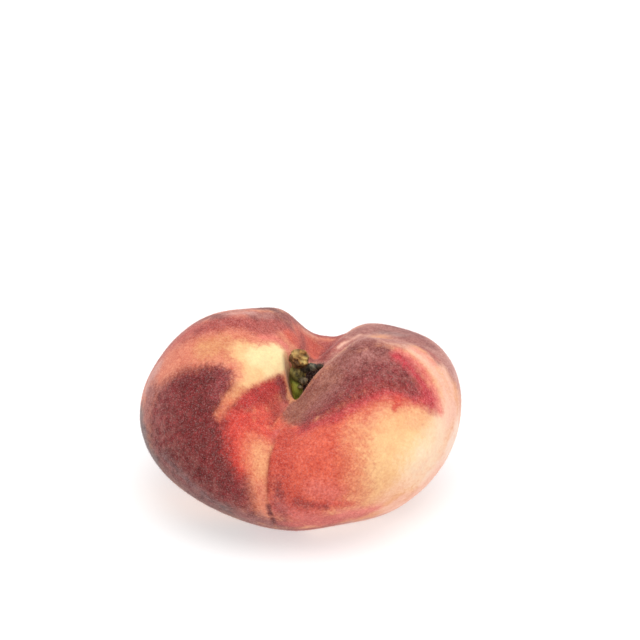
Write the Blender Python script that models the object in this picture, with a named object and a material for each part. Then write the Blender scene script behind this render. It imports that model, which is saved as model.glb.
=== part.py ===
"""A flat peach lying on its base, with the short woody stub of its stem.

The fruit is one solid: a sphere whose every vertex is moved to a place on the skin. The stem is a
second solid, a union of rounded lumps that stands in the pit of the fruit. Lengths are named in
millimetres and become metres when the vertices are placed. +Z points up out of the stem pit, the
suture is towards -Y, and the origin is the middle of the resting fruit's box, on the surface below.
"""
import math

import bmesh
import bpy
from mathutils import Matrix, Vector

MM = 0.001

# Driving dimensions of the fruit, in millimetres. Each list runs round the stem in steps of
# 45 degrees: right, back right, back, back left, left, front left, front, front right.
EQUATOR_RADIUS = (34.5, 37.0, 36.0, 36.0, 36.5, 33.0, 29.5, 30.5)
EQUATOR_HEIGHT = (22.5, 23.5, 19.5, 19.0, 21.0, 19.0, 18.0, 21.0)
CREST_RADIUS = (15.0, 18.5, 24.0, 18.0, 20.0, 18.0, 16.5, 14.5)
CREST_HEIGHT = (42.0, 36.5, 36.5, 40.0, 41.5, 36.5, 36.0, 35.0)
DISH_HEIGHT = (32.0, 31.0, 32.0, 34.5, 36.5, 33.5, 28.0, 34.0)
PIT_RADIUS = (5.0, 5.0, 4.2, 3.3, 3.0, 3.2, 3.5, 4.3)
FOOT_RADIUS = (16.0, 12.5, 13.0, 9.5, 13.0, 6.0, 9.5, 9.0)

# Single values of the fruit: the pit, the hollow under the base, the depth that the resting ring
# is pressed flat, and how much the flank draws in towards the foot
PIT_FLOOR = 24.0
PIT_STEEPNESS = 5
BASE_HOLLOW = 3.0
REST_FLATTENING = 0.2
FLANK_LEANNESS = 0.24
FULLEST_SHOULDER = 0.5

# Valleys across the rim: how deep, where, and how wide (radians)
SUTURE_WAY = math.radians(-87.0)
SUTURE_VALLEY = (8.0, SUTURE_WAY, math.radians(31.0))
SUTURE_FURROW = (0.6, SUTURE_WAY, math.radians(7.5))
BACK_VALLEY = (10.0, math.radians(93.0), math.radians(15.0))
LOBE_FOLD = (1.8, math.radians(24.0), math.radians(9.0))

# Facets: segments round the fruit, rings from pit to base, and how the rings are shared out
SEGMENTS = 64
RINGS = 48
DISH_SHARE = 0.38
SHOULDER_SHARE = 0.20
FLANK_SHARE = 0.28
DISH_CROWDING = 1.6

# The stem, in millimetres from the middle of the pit: centre, half sizes, and tilt about Y in degrees
STALK_FOOT = (-0.45, -0.1, 24.7)
STALK_TOP = (-1.0, -0.2, 31.5)
STALK_FOOT_RADIUS = 0.9
STALK_TOP_RADIUS = 1.6
STEM_LUMPS = {
    "node_block": ((-0.7, -0.1, 31.8), (1.85, 1.8, 2.4), 0.0),
    "cut_end": ((-0.3, -0.2, 35.7), (2.2, 2.1, 2.1), 12.0),
    "spur_root": ((1.2, 0.0, 33.7), (1.6, 1.1, 1.1), 0.0),
    "spur_bud": ((2.6, 0.1, 33.9), (1.2, 1.1, 0.95), 8.0),
    "spur_tip": ((4.0, 0.4, 34.1), (1.3, 0.6, 0.5), -10.0),
    "bud_scale": ((0.9, -1.4, 30.9), (1.0, 0.8, 0.85), 0.0),
    "leaf_scar": ((0.3, -1.3, 29.4), (0.65, 0.5, 0.55), 0.0),
}
STALK_SIDES = 16
LUMP_DETAIL = 3


def clear_scene():
    """Start from nothing, whatever was open."""
    for thing in list(bpy.data.objects):
        bpy.data.objects.remove(thing, do_unlink=True)


def material(name, colour, roughness):
    """A plain Principled material."""
    made = bpy.data.materials.new(name)
    made.use_nodes = True
    shader = made.node_tree.nodes["Principled BSDF"]
    shader.inputs["Base Color"].default_value = (*colour, 1.0)
    shader.inputs["Roughness"].default_value = roughness
    shader.inputs["Metallic"].default_value = 0.0
    return made


def turn_between(way, other):
    """The signed angle from one compass way to another."""
    return (way - other + math.pi) % math.tau - math.pi


def round_the_compass(values, way):
    """A smooth closed curve through equally spaced values, read at one way."""
    count = len(values)
    total = 0.0
    for index, value in enumerate(values):
        turn = turn_between(way, index * math.tau / count)
        weight = 1.0 + math.cos(turn * count / 2)
        weight += 2.0 * sum(math.cos(turn * order) for order in range(1, count // 2))
        total += value * weight / count
    return total


def valley(shape, way):
    """How far a valley lowers the rim at this way."""
    depth, centre, width = shape
    return depth * math.exp(-((turn_between(way, centre) / width) ** 2))


def shoulder_fullness(equator, equator_height, crest, crest_height, foot):
    """The fullness that makes the shoulder as round at the equator as the flank below it."""
    steepness = equator_height / (crest_height - equator_height)
    reach = (equator - crest) / ((equator - foot) * (1.0 + 2.0 * FLANK_LEANNESS))
    return min(steepness * math.sqrt(reach) - 1.0, FULLEST_SHOULDER)


def skin_point(way, share):
    """A point of the skin in millimetres, share 0 in the pit's middle and 1 in the base's middle."""
    equator = round_the_compass(EQUATOR_RADIUS, way) - valley(SUTURE_FURROW, way)
    equator_height = round_the_compass(EQUATOR_HEIGHT, way)
    crest = round_the_compass(CREST_RADIUS, way)
    crest_height = round_the_compass(CREST_HEIGHT, way)
    crest_height -= valley(SUTURE_VALLEY, way) + valley(BACK_VALLEY, way) + valley(LOBE_FOLD, way)
    foot = round_the_compass(FOOT_RADIUS, way)
    shoulder_start = DISH_SHARE
    flank_start = shoulder_start + SHOULDER_SHARE
    base_start = flank_start + FLANK_SHARE

    if share < shoulder_start:
        across = (share / DISH_SHARE) ** DISH_CROWDING
        radius = crest * across
        sink = crest_height - round_the_compass(DISH_HEIGHT, way)
        dish = crest_height - sink * math.cos(across * math.pi / 2) ** 2
        wall = math.exp(-((radius / round_the_compass(PIT_RADIUS, way)) ** PIT_STEEPNESS))
        height = dish - (dish - PIT_FLOOR) * wall
    elif share < flank_start:
        turn = (share - shoulder_start) / SHOULDER_SHARE * math.pi / 2
        radius = crest + (equator - crest) * math.sin(turn)
        fullness = shoulder_fullness(equator, equator_height, crest, crest_height, foot)
        rise = math.cos(turn) * (1.0 + fullness * math.sin(turn) ** 2)
        height = equator_height + (crest_height - equator_height) * rise
    elif share < base_start:
        turn = (share - flank_start) / FLANK_SHARE * math.pi / 2
        leanness = 1.0 - FLANK_LEANNESS * math.sin(turn) ** 2
        radius = foot + (equator - foot) * math.cos(turn) * leanness
        height = equator_height * (1.0 - math.sin(turn))
    else:
        inward = (share - base_start) / (1.0 - base_start)
        radius = foot * (1.0 - inward)
        height = BASE_HOLLOW * math.sin(inward * math.pi / 2) ** 2

    height = max(height, REST_FLATTENING) - REST_FLATTENING
    return Vector((radius * math.cos(way), radius * math.sin(way), height))


def fruit_mesh():
    """A sphere with every vertex moved to the skin."""
    shape = bmesh.new()
    bmesh.ops.create_uvsphere(shape, u_segments=SEGMENTS, v_segments=RINGS, radius=1.0)
    for vertex in shape.verts:
        way = math.atan2(vertex.co.y, vertex.co.x)
        share = math.acos(max(-1.0, min(1.0, vertex.co.z))) / math.pi
        vertex.co = skin_point(way, share) * MM
    bmesh.ops.recalc_face_normals(shape, faces=shape.faces)
    mesh = bpy.data.meshes.new("fruit")
    shape.to_mesh(mesh)
    shape.free()
    return mesh


def resting_middle(mesh):
    """The middle of the mesh's box, seen from above."""
    across = [vertex.co.x for vertex in mesh.vertices]
    deep = [vertex.co.y for vertex in mesh.vertices]
    return Vector(((min(across) + max(across)) / 2, (min(deep) + max(deep)) / 2, 0.0))


def add_object(name, mesh, look, place):
    """Put a mesh in the scene, smooth where it is round."""
    mesh.materials.append(look)
    mesh.shade_smooth()
    thing = bpy.data.objects.new(name, mesh)
    thing.location = place
    bpy.context.scene.collection.objects.link(thing)
    return thing


def lump_mesh(centre, half_sizes, tilt):
    """One rounded lump of the stem."""
    shape = bmesh.new()
    bmesh.ops.create_icosphere(shape, subdivisions=LUMP_DETAIL, radius=1.0)
    placed = Matrix.Translation(Vector(centre) * MM) @ Matrix.Rotation(math.radians(tilt), 4, "Y")
    bmesh.ops.transform(shape, matrix=placed @ Matrix.Diagonal((*(Vector(half_sizes) * MM), 1.0)),
                        verts=shape.verts)
    mesh = bpy.data.meshes.new("lump")
    shape.to_mesh(mesh)
    shape.free()
    return mesh


def stalk_mesh():
    """The slender stalk from the pit's floor up into the woody block."""
    foot = Vector(STALK_FOOT) * MM
    top = Vector(STALK_TOP) * MM
    line = top - foot
    shape = bmesh.new()
    bmesh.ops.create_cone(shape, cap_ends=True, segments=STALK_SIDES, radius1=STALK_FOOT_RADIUS * MM,
                          radius2=STALK_TOP_RADIUS * MM, depth=line.length)
    turned = Vector((0.0, 0.0, 1.0)).rotation_difference(line).to_matrix().to_4x4()
    bmesh.ops.transform(shape, matrix=Matrix.Translation((foot + top) / 2) @ turned, verts=shape.verts)
    mesh = bpy.data.meshes.new("stalk")
    shape.to_mesh(mesh)
    shape.free()
    return mesh


def add_stem(look, place):
    """The stalk and its lumps, joined into one closed body."""
    stem = add_object("stem", stalk_mesh(), look, place)
    lumps = bpy.data.collections.new("stem_lumps")
    bpy.context.scene.collection.children.link(lumps)
    for name, (centre, half_sizes, tilt) in STEM_LUMPS.items():
        lump = bpy.data.objects.new(name, lump_mesh(centre, half_sizes, tilt))
        lump.location = place
        lumps.objects.link(lump)

    union = stem.modifiers.new("union", "BOOLEAN")
    union.operation = "UNION"
    union.operand_type = "COLLECTION"
    union.collection = lumps
    union.solver = "EXACT"
    graph = bpy.context.evaluated_depsgraph_get()
    joined = bpy.data.meshes.new_from_object(stem.evaluated_get(graph))
    stem.modifiers.clear()
    stem.data = joined
    for lump in list(lumps.objects):
        bpy.data.objects.remove(lump, do_unlink=True)
    bpy.data.collections.remove(lumps)
    return stem


def build():
    """The whole part: the fruit and its stem."""
    clear_scene()
    mesh = fruit_mesh()
    place = -resting_middle(mesh)
    add_object("fruit", mesh, material("skin", (0.78, 0.36, 0.22), 0.6), place)
    add_stem(material("stem", (0.20, 0.15, 0.08), 0.75), place)


build()
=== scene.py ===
# %% [markdown]
# # A flat peach, seen from a little above
# The solids of the fruit and of its stem come from the CAD model, at their real size. They are smooth
# and plain. Here they are made again with a much finer skin, and then coloured, covered in down and lit.
# Every piece stays where the CAD model has it, so what is seen is what the physics engine handles.

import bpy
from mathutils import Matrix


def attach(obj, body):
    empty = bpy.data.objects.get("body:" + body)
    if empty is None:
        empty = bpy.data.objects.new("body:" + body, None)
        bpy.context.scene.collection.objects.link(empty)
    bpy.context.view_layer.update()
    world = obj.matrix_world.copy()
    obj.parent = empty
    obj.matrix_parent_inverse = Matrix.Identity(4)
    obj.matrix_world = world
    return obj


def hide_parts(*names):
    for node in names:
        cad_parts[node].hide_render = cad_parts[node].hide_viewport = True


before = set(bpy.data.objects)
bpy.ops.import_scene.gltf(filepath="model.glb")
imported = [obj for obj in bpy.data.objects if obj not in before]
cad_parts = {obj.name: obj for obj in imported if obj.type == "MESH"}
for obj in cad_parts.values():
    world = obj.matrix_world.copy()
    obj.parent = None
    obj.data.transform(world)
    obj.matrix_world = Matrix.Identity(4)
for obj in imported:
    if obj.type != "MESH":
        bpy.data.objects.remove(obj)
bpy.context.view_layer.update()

# %% [markdown]
# ## The size of the fruit
# A flat peach is a squat drum with a soft rim round its stem. A few radii and heights, each read round
# the stem in steps of 45 degrees, are enough to describe it. They are the same driving dimensions as in
# the CAD model. Sculpting by hand would look as good, but it couldn't be checked against the solids.

# %% Driving dimensions
import math

import bmesh
import bpy
import numpy as np
from mathutils import Euler, Matrix, Vector, noise
from mathutils.bvhtree import BVHTree

MM = 0.001

# Right, back right, back, back left, left, front left, front, front right, in millimetres
EQUATOR_RADIUS = (34.5, 37.0, 36.0, 36.0, 36.5, 33.0, 29.5, 30.5)
EQUATOR_HEIGHT = (22.5, 23.5, 19.5, 19.0, 21.0, 19.0, 18.0, 21.0)
CREST_RADIUS = (15.0, 18.5, 24.0, 18.0, 20.0, 18.0, 16.5, 14.5)
CREST_HEIGHT = (42.0, 36.5, 36.5, 40.0, 41.5, 36.5, 36.0, 35.0)
DISH_HEIGHT = (32.0, 31.0, 32.0, 34.5, 36.5, 33.5, 28.0, 34.0)
PIT_RADIUS = (5.0, 5.0, 4.2, 3.3, 3.0, 3.2, 3.5, 4.3)
FOOT_RADIUS = (16.0, 12.5, 13.0, 9.5, 13.0, 6.0, 9.5, 9.0)

PIT_FLOOR = 24.0
PIT_STEEPNESS = 5
BASE_HOLLOW = 3.0
REST_FLATTENING = 0.2
FLANK_LEANNESS = 0.24
FULLEST_SHOULDER = 0.5

SUTURE_WAY = math.radians(-87.0)
SUTURE_VALLEY = (8.0, SUTURE_WAY, math.radians(31.0))
SUTURE_FURROW = (0.6, SUTURE_WAY, math.radians(7.5))
BACK_VALLEY = (10.0, math.radians(93.0), math.radians(15.0))
LOBE_FOLD = (1.8, math.radians(24.0), math.radians(9.0))

DISH_SHARE = 0.38
SHOULDER_SHARE = 0.20
FLANK_SHARE = 0.28
DISH_CROWDING = 1.6

# %% [markdown]
# ## The skin as a formula
# Any point of the skin is named by two numbers: the way round the stem, and its share of the walk from
# the pit's floor, over the rim and down the flank, to the middle of the base. The formula works on whole
# arrays at once, so a hundred thousand points take no time.

# %% Points of the skin
def turn_between(way, other):
    """The signed angle from one compass way to another."""
    return (way - other + math.pi) % math.tau - math.pi


def round_the_compass(values, way):
    """A smooth closed curve through equally spaced values, read at many ways."""
    count = len(values)
    total = np.zeros_like(way)
    for index, value in enumerate(values):
        turn = turn_between(way, index * math.tau / count)
        weight = 1.0 + np.cos(turn * count / 2)
        weight += 2.0 * sum(np.cos(turn * order) for order in range(1, count // 2))
        total += value * weight / count
    return total


def valley(shape, way):
    """How far a valley lowers the rim."""
    depth, centre, width = shape
    return depth * np.exp(-((turn_between(way, centre) / width) ** 2))


def skin_points(way, share):
    """Points of the skin in millimetres from the middle of the pit's foot."""
    equator = round_the_compass(EQUATOR_RADIUS, way) - valley(SUTURE_FURROW, way)
    equator_height = round_the_compass(EQUATOR_HEIGHT, way)
    crest = round_the_compass(CREST_RADIUS, way)
    crest_height = round_the_compass(CREST_HEIGHT, way)
    crest_height -= valley(SUTURE_VALLEY, way) + valley(BACK_VALLEY, way) + valley(LOBE_FOLD, way)
    foot = round_the_compass(FOOT_RADIUS, way)

    across = np.clip(share / DISH_SHARE, 0, 1) ** DISH_CROWDING
    dish_radius = crest * across
    sink = crest_height - round_the_compass(DISH_HEIGHT, way)
    dish = crest_height - sink * np.cos(across * math.pi / 2) ** 2
    wall = np.exp(-((dish_radius / round_the_compass(PIT_RADIUS, way)) ** PIT_STEEPNESS))
    dish_height = dish - (dish - PIT_FLOOR) * wall

    turn = np.clip((share - DISH_SHARE) / SHOULDER_SHARE, 0, 1) * math.pi / 2
    shoulder_radius = crest + (equator - crest) * np.sin(turn)
    steepness = equator_height / (crest_height - equator_height)
    reach = (equator - crest) / ((equator - foot) * (1.0 + 2.0 * FLANK_LEANNESS))
    fullness = np.minimum(steepness * np.sqrt(reach) - 1.0, FULLEST_SHOULDER)
    rise = np.cos(turn) * (1.0 + fullness * np.sin(turn) ** 2)
    shoulder_height = equator_height + (crest_height - equator_height) * rise

    flank_start = DISH_SHARE + SHOULDER_SHARE
    turn = np.clip((share - flank_start) / FLANK_SHARE, 0, 1) * math.pi / 2
    leanness = 1.0 - FLANK_LEANNESS * np.sin(turn) ** 2
    flank_radius = foot + (equator - foot) * np.cos(turn) * leanness
    flank_height = equator_height * (1.0 - np.sin(turn))

    base_start = flank_start + FLANK_SHARE
    inward = np.clip((share - base_start) / (1.0 - base_start), 0, 1)
    base_radius = foot * (1.0 - inward)
    base_height = BASE_HOLLOW * np.sin(inward * math.pi / 2) ** 2

    zones = [share < DISH_SHARE, share < flank_start, share < base_start]
    radius = np.select(zones, [dish_radius, shoulder_radius, flank_radius], base_radius)
    height = np.select(zones, [dish_height, shoulder_height, flank_height], base_height)
    height = np.maximum(height, REST_FLATTENING) - REST_FLATTENING
    return np.stack([radius * np.cos(way), radius * np.sin(way), height], axis=1)

# %% [markdown]
# ## The fine skin
# The CAD model gets by with about three thousand corners on the skin. The picture needs many more, because
# the colours are held by the corners and because a coarse outline shows. The same trick is used as in the
# CAD model: start from a sphere, which is closed and has no seam, and move each of its corners to the skin.
# The columns are crowded together near the suture, where the groove is narrow and wants more of them.

# %% A sphere's corners, named by way and share
COLUMNS = 400
ROWS = 232
SUTURE_CROWDING = 0.7


def skin_sphere():
    """A sphere's mesh, with the way and the share of each of its corners."""
    ball = bmesh.new()
    bmesh.ops.create_uvsphere(ball, u_segments=COLUMNS, v_segments=ROWS, radius=1.0)
    mesh = bpy.data.meshes.new("skin")
    ball.to_mesh(mesh)
    ball.free()
    corners = np.zeros(len(mesh.vertices) * 3)
    mesh.vertices.foreach_get("co", corners)
    corners = corners.reshape(-1, 3)
    way = np.arctan2(corners[:, 1], corners[:, 0])
    way -= SUTURE_CROWDING * np.sin(way - SUTURE_WAY)
    share = np.arccos(np.clip(corners[:, 2], -1, 1)) / math.pi
    return mesh, way, share


skin_mesh, skin_way, skin_share = skin_sphere()
skin_mm = skin_points(skin_way, skin_share)
stem_axis = -(skin_mm.max(axis=0) + skin_mm.min(axis=0)) / 2
stem_axis[2] = 0.0
skin_mm += stem_axis
print("corners on the skin:", len(skin_mm), "stem axis at", stem_axis.round(2), "mm")

# %% [markdown]
# ## The camera
# It stands about where the photograph was taken from: half a metre away, 28 degrees above the table and
# a little to the right of the suture. It is made early, because the marks on the skin are then placed by
# looking through it. A long lens keeps the fruit's shape as the photograph has it.

# %% A camera at the photograph's place
IMAGE_SIDE = 640
SENSOR = 36.0
FOCAL_PIXELS = 2240.0
CAMERA_AZIMUTH = math.radians(15.0)
CAMERA_ELEVATION = math.radians(28.2)
CAMERA_DISTANCE = 500.0 * MM
AIM_HEIGHT = 19.8
AIM_PIXEL = (300.6, 422.2)


def make_camera():
    """A camera that sees the aimed point of the stem's axis at its pixel."""
    lens = bpy.data.cameras.new("camera")
    lens.sensor_width = SENSOR
    lens.lens = FOCAL_PIXELS * SENSOR / IMAGE_SIDE
    camera = bpy.data.objects.new("camera", lens)
    bpy.context.scene.collection.objects.link(camera)
    aim = Vector((stem_axis[0], stem_axis[1], AIM_HEIGHT)) * MM
    level = math.cos(CAMERA_ELEVATION)
    back = Vector((math.sin(CAMERA_AZIMUTH) * level, -math.cos(CAMERA_AZIMUTH) * level,
                   math.sin(CAMERA_ELEVATION)))
    pitch = math.atan((AIM_PIXEL[1] - IMAGE_SIDE / 2) / FOCAL_PIXELS)
    yaw = math.atan((AIM_PIXEL[0] - IMAGE_SIDE / 2) / FOCAL_PIXELS)
    straight = (-back).to_track_quat("-Z", "Y").to_matrix()
    turned = straight @ Euler((pitch, 0.0, 0.0)).to_matrix() @ Euler((0.0, yaw, 0.0)).to_matrix()
    camera.matrix_world = Matrix.Translation(aim + back * CAMERA_DISTANCE) @ turned.to_4x4()
    bpy.context.scene.camera = camera
    return camera


def pixel_of(camera, place):
    """Where a point in metres is seen, in the photograph's pixels."""
    seen = camera.matrix_world.inverted() @ Vector(place)
    across, up = (FOCAL_PIXELS * length / -seen.z for length in (seen.x, seen.y))
    return IMAGE_SIDE / 2 + across, IMAGE_SIDE / 2 - up


camera = make_camera()
aimed = pixel_of(camera, (stem_axis[0] * MM, stem_axis[1] * MM, AIM_HEIGHT * MM))
print("the aimed point is seen at pixel", tuple(round(number, 1) for number in aimed))

# %% [markdown]
# ## Places on the skin
# A mark on the skin is easiest to place where it is seen, so most places below are pixels. A ray from the
# camera through the pixel meets the skin at the real place, and from then on only that place counts: the
# mark is on the fruit, not on the picture. Marks on the far side are named by their way and share instead.

# %% From a pixel, or from a way and share, to a place on the skin
skin_mesh.vertices.foreach_set("co", skin_mm.ravel())
skin_tree = BVHTree.FromPolygons(skin_mm.tolist(), [tuple(face.vertices) for face in skin_mesh.polygons])
PICTURE_MIDDLE = Vector((300.0, 420.0))
PULL_INWARD = 0.01


def seen_place(pixel):
    """The place in millimetres that a pixel shows; a pixel just off the fruit is pulled in to its edge."""
    eye = camera.matrix_world.translation / MM
    spot = Vector(pixel)
    while True:
        across = (spot.x - IMAGE_SIDE / 2) / FOCAL_PIXELS
        up = (IMAGE_SIDE / 2 - spot.y) / FOCAL_PIXELS
        ray = camera.matrix_world.to_3x3() @ Vector((across, up, -1.0))
        hit = skin_tree.ray_cast(eye, ray.normalized())[0]
        if hit is not None:
            return np.array(hit)
        spot = spot.lerp(PICTURE_MIDDLE, PULL_INWARD)


def seen_line(pixels, step=6.0):
    """Places under a line of pixels, one every few pixels, so that the line bends with the skin."""
    places = [seen_place(pixels[0])]
    for start, end in zip(pixels[:-1], pixels[1:]):
        start, end = Vector(start), Vector(end)
        count = max(1, math.ceil((end - start).length / step))
        places += [seen_place(start.lerp(end, index / count)) for index in range(1, count + 1)]
    return np.array(places)


def hidden_line(stops, pieces=8):
    """Places under a line of (degrees, share) stops."""
    ways, shares = [], []
    for start, end in zip(stops[:-1], stops[1:]):
        for index in range(pieces):
            part = index / pieces
            ways.append(start[0] + (end[0] - start[0]) * part)
            shares.append(start[1] + (end[1] - start[1]) * part)
    ways.append(stops[-1][0])
    shares.append(stops[-1][1])
    return skin_points(np.radians(ways), np.array(shares)) + stem_axis


def distance_to_line(points, line):
    """The distance of many points from a bent line, in the line's own units."""
    nearest = np.linalg.norm(points - line[0], axis=1)
    for start, end in zip(line[:-1], line[1:]):
        run = end - start
        along = np.clip((points - start) @ run / max(run @ run, 1e-9), 0, 1)
        gap = np.linalg.norm(points - start - along[:, None] * run, axis=1)
        nearest = np.minimum(nearest, gap)
    return nearest


print("the notch of the pit is at", seen_place((291.7, 399.0)).round(1), "mm")

# %% [markdown]
# ## The suture and small unevenness
# On the real fruit the suture ends below in a fine crease, and the skin is never quite even. Both are
# shape, so the corners are moved; a bump map would leave the outline too smooth. The crease follows
# the line on which it is seen and gets shallower towards its ends.

# %% Crease and unevenness
SUTURE_LINE = [(285, 424), (275, 440), (269.5, 460), (267.5, 480), (267.5, 500), (274, 523)]
CREASE_LINE = SUTURE_LINE[1:]
CREASE_DEPTH = 0.30
CREASE_WIDTH = 0.42
CREASE_WAVER = (0.9, 0.45)
UNEVENNESS = ((0.06, 0.10), (0.16, 0.05), (0.5, 0.018))


def noise_at(points, frequency, shift=0.0):
    """Smooth noise, about -1 to 1, at points in millimetres."""
    offset = Vector((shift, -shift, 2 * shift))
    return np.array([noise.noise(Vector(point) * frequency + offset) for point in points.tolist()])


def crease_and_uneven(points):
    """The same points with the crease cut in and the skin slightly uneven."""
    middle = np.array([stem_axis[0], stem_axis[1], AIM_HEIGHT])
    outward = points - middle
    outward /= np.linalg.norm(outward, axis=1)[:, None]
    raised = sum(height * noise_at(points, frequency, shift=7.0) for frequency, height in UNEVENNESS)
    wavering, share = CREASE_WAVER
    uneven = 1.0 - share + share * noise_at(points, wavering, shift=3.0)
    crease = uneven * np.exp(-((distance_to_line(points, seen_line(CREASE_LINE)) / CREASE_WIDTH) ** 2))
    resting = np.clip(points[:, 2], 0, 1)
    return points + outward * ((raised - CREASE_DEPTH * crease) * resting)[:, None], crease


suture_places = seen_line(SUTURE_LINE)
fine_mm, skin_crease = crease_and_uneven(skin_mm)
print("corners moved by up to", round(float(np.abs(fine_mm - skin_mm).max()), 2), "mm")

# %% [markdown]
# ## Paint
# The colour of a peach is a yellow ground, under a red blush that the sun drew, under grey down. Noise
# alone could make it, but then the marks would fall anywhere. Here it is painted as a maker would paint
# it: a small palette, and soft strokes laid one over the other, each with an edge that noise breaks up.

# %% The palette and a brush
PALETTE = {
    "cream": (253, 227, 170), "butter": (252, 201, 144), "peach": (250, 176, 126), "honey": (236, 158, 110),
    "orange": (250, 148, 108), "coral": (245, 107, 81), "red": (242, 80, 66), "scarlet": (204, 56, 52),
    "crimson": (172, 48, 46), "cherry": (220, 70, 80), "maroon": (138, 40, 42), "plum": (126, 32, 34),
    "wine": (154, 58, 60), "smoke": (122, 76, 72), "ash": (178, 112, 90), "mauve": (164, 92, 88),
    "rose": (200, 94, 86), "haze": (208, 142, 130), "raspberry": (232, 108, 98), "salmon": (244, 146, 116),
    "blush": (255, 140, 126), "shell": (255, 202, 178), "blossom": (255, 230, 212), "lilac": (224, 166, 156),
    "dusk": (126, 112, 112), "leaf": (190, 186, 84), "shade": (48, 22, 16),
}
PAINT_BRIGHTNESS = 0.94


def linear(colour):
    """A colour of the palette as the light values that a shader works with."""
    share = np.array(colour) / 255.0
    light = np.where(share <= 0.04045, share / 12.92, ((share + 0.055) / 1.055) ** 2.4)
    return light * PAINT_BRIGHTNESS


def brush(points, line, radius, softness, ragged):
    """How strongly a stroke covers each point, from 0 to 1."""
    reach = radius + 3 * softness
    near = np.all((points > line.min(axis=0) - reach) & (points < line.max(axis=0) + reach), axis=1)
    distance = distance_to_line(points[near], line) + ragged[near] * softness
    part = np.clip((radius + softness - distance) / (2 * softness), 0, 1)
    cover = np.zeros(len(points))
    cover[near] = part * part * (3 - 2 * part)
    return cover


print("the palette has", len(PALETTE), "colours")

# %% [markdown]
# ## The strokes on the side that is seen
# Each stroke has a paint, a half width and a softness in millimetres, a strength, and the line that it
# follows. They are listed from the ground up, as they are laid: first the broad colours, then the plum
# patch and the grey cap, at last the thin bright lines along the ridges, which are painted highlights:
# the gleam of the down where a ridge is seen edge on. The suture divides the blush sharply, so a stroke
# may be kept to its left or right side.

# %% The left lobe
LEFT_LOBE = [
    ("salmon", 13.0, 5.0, 1.0, [(165, 385), (200, 345), (250, 332)]),
    ("crimson", 8.0, 3.0, 1.0, [(212, 412), (222, 440), (238, 480)]),
    ("maroon", 10.5, 3.0, 1.0, [(178, 414), (176, 440), (202, 482)]),
    ("rose", 2.6, 1.8, 1.0, [(182, 341), (200, 329), (225, 321), (250, 324), (275, 321), (292, 330)]),
    ("mauve", 1.4, 1.3, 0.8, [(252, 316), (264, 315), (280, 316), (294, 322), (306, 331)]),
    ("haze", 1.1, 1.1, 0.9,
     [(150, 372), (162, 350), (178, 334), (198, 321), (222, 313), (248, 309), (262, 309)]),
    # painted highlight: the down's sheen on the top of the left lobe
    ("lilac", 0.9, 1.1, 0.8, [(222, 315), (238, 313), (254, 313)]),
    ("mauve", 1.5, 1.3, 0.85, [(198, 321), (210, 316), (220, 316)]),
    ("mauve", 1.8, 1.5, 0.9, [(260, 306), (272, 309), (286, 316), (298, 324)]),
    ("rose", 1.8, 1.6, 0.75, [(158, 356), (168, 345), (180, 335), (192, 326)]),
    ("haze", 0.8, 1.0, 0.7, [(254, 314), (262, 318), (270, 315)]),
    ("smoke", 1.2, 0.9, 0.7, [(259, 306), (266, 307), (275, 310)]),
    ("rose", 1.5, 1.3, 0.9, [(254, 330), (264, 332), (278, 327), (287, 330)]),
    ("salmon", 4.0, 3.0, 0.9, [(160, 368), (182, 352)]),
    ("honey", 2.8, 2.4, 1.0, [(206, 349), (226, 346), (240, 349)]),
    ("butter", 3.0, 1.8, 1.0, [(244, 354), (252, 358), (252, 368)]),
    ("cream", 2.6, 1.6, 1.0, [(258, 358), (276, 350), (279, 363), (264, 370)]),
    ("butter", 1.5, 1.2, 1.0, [(258, 374), (250, 381), (243, 387)]),
    ("blush", 0.9, 1.0, 0.8, [(262, 337), (276, 338), (286, 346)]),
    ("raspberry", 1.0, 1.2, 0.5, [(162, 358), (172, 346), (182, 337), (193, 329)]),
    ("rose", 1.2, 1.2, 0.5, [(288, 318), (296, 323), (303, 331)]),
    ("wine", 1.0, 1.0, 0.4, [(274, 317), (282, 320), (290, 325)]),
]
PLUM_PATCH = [
    ("maroon", 3.2, 1.8, 1.0, [(180, 393), (190, 385), (204, 382)]),
    ("plum", 3.4, 2.0, 1.0, [(196, 386), (211, 378), (204, 400)]),
    ("wine", 1.5, 1.4, 0.9, [(218, 372), (227, 375), (216, 394)]),
    ("plum", 4.5, 4.0, 0.7, [(184, 430), (192, 452), (212, 478)]),
    ("smoke", 3.2, 2.8, 0.85, [(144, 440), (150, 455), (166, 474), (190, 493), (216, 510), (246, 523)]),
    ("lilac", 1.6, 1.8, 0.9, [(146, 390), (149, 380), (158, 366)]),
    ("mauve", 2.2, 1.8, 0.85, [(146, 414), (147, 404), (150, 393)]),
    ("plum", 1.6, 1.6, 0.35, [(158, 424), (160, 440), (166, 450)]),
    ("shade", 2.2, 2.4, 0.16, [(152, 428), (157, 442), (166, 456)]),
    ("wine", 1.6, 1.8, 0.7, [(158, 420), (160, 408), (166, 398)]),
    ("smoke", 2.6, 1.8, 0.95, [(226, 509), (238, 515), (248, 519)]),
    ("shade", 1.0, 1.4, 0.18, [(230, 511), (241, 515)]),
    ("plum", 2.6, 2.5, 0.6, [(162, 440), (184, 464), (214, 490)]),
    ("dusk", 2.0, 1.7, 0.95, [(139, 412), (141, 424), (146, 444), (155, 460)]),
    ("dusk", 0.9, 1.3, 0.5, [(164, 456), (180, 473), (194, 486), (208, 498), (224, 507)]),
    ("honey", 1.3, 1.2, 1.0, [(240, 390), (230, 400)]),
    ("orange", 1.1, 1.3, 0.8, [(228, 402), (221, 413)]),
]
print(len(LEFT_LOBE) + len(PLUM_PATCH), "strokes on the left lobe")

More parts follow.
